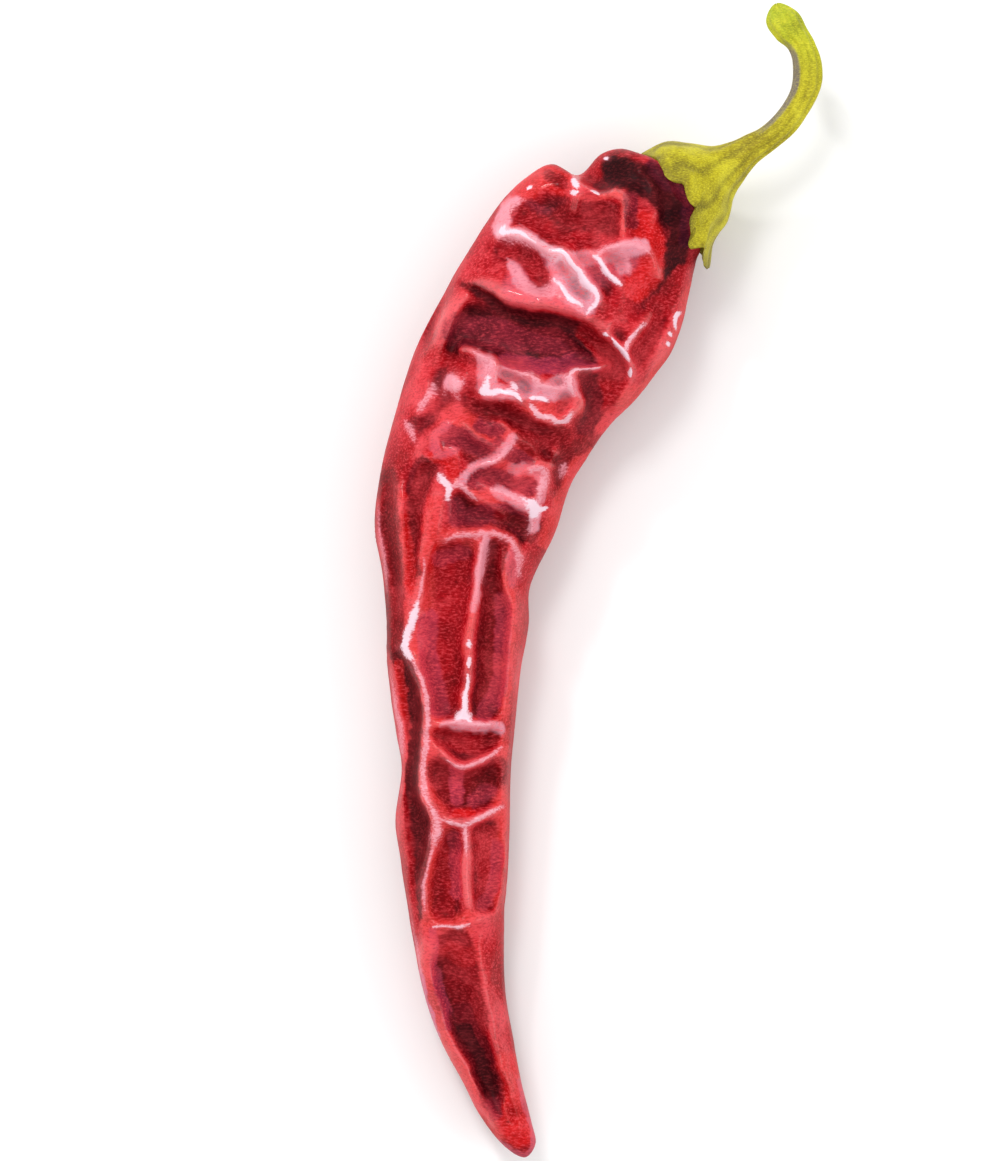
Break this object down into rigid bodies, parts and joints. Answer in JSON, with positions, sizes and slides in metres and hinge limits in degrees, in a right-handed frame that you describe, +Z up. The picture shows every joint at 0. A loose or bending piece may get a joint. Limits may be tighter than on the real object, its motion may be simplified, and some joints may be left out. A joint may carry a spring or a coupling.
{
  "type": "dried chilli",
  "caption": "Long dried red chilli pod with a crumpled skin, a bent tapering tip and a green calyx and curved stem, lying on its side.",
  "frame": {"origin": "under the middle of the whole chilli's box, on the surface it lies on", "axes": "+Y from the tip to the stem, +Z up, with the side that the picture shows facing up"},
  "size_m": [0.0672, 0.1732, 0.0234],
  "materials": {
    "skin": "glossy dried skin, crimson on the folds and maroon to brown in the hollows",
    "stalk": "matt yellow-green dried stem with lengthwise ribs"
  },
  "bodies": {
    "root": {"pod": "skin", "stalk": "stalk"}
  },
  "joints": []
}
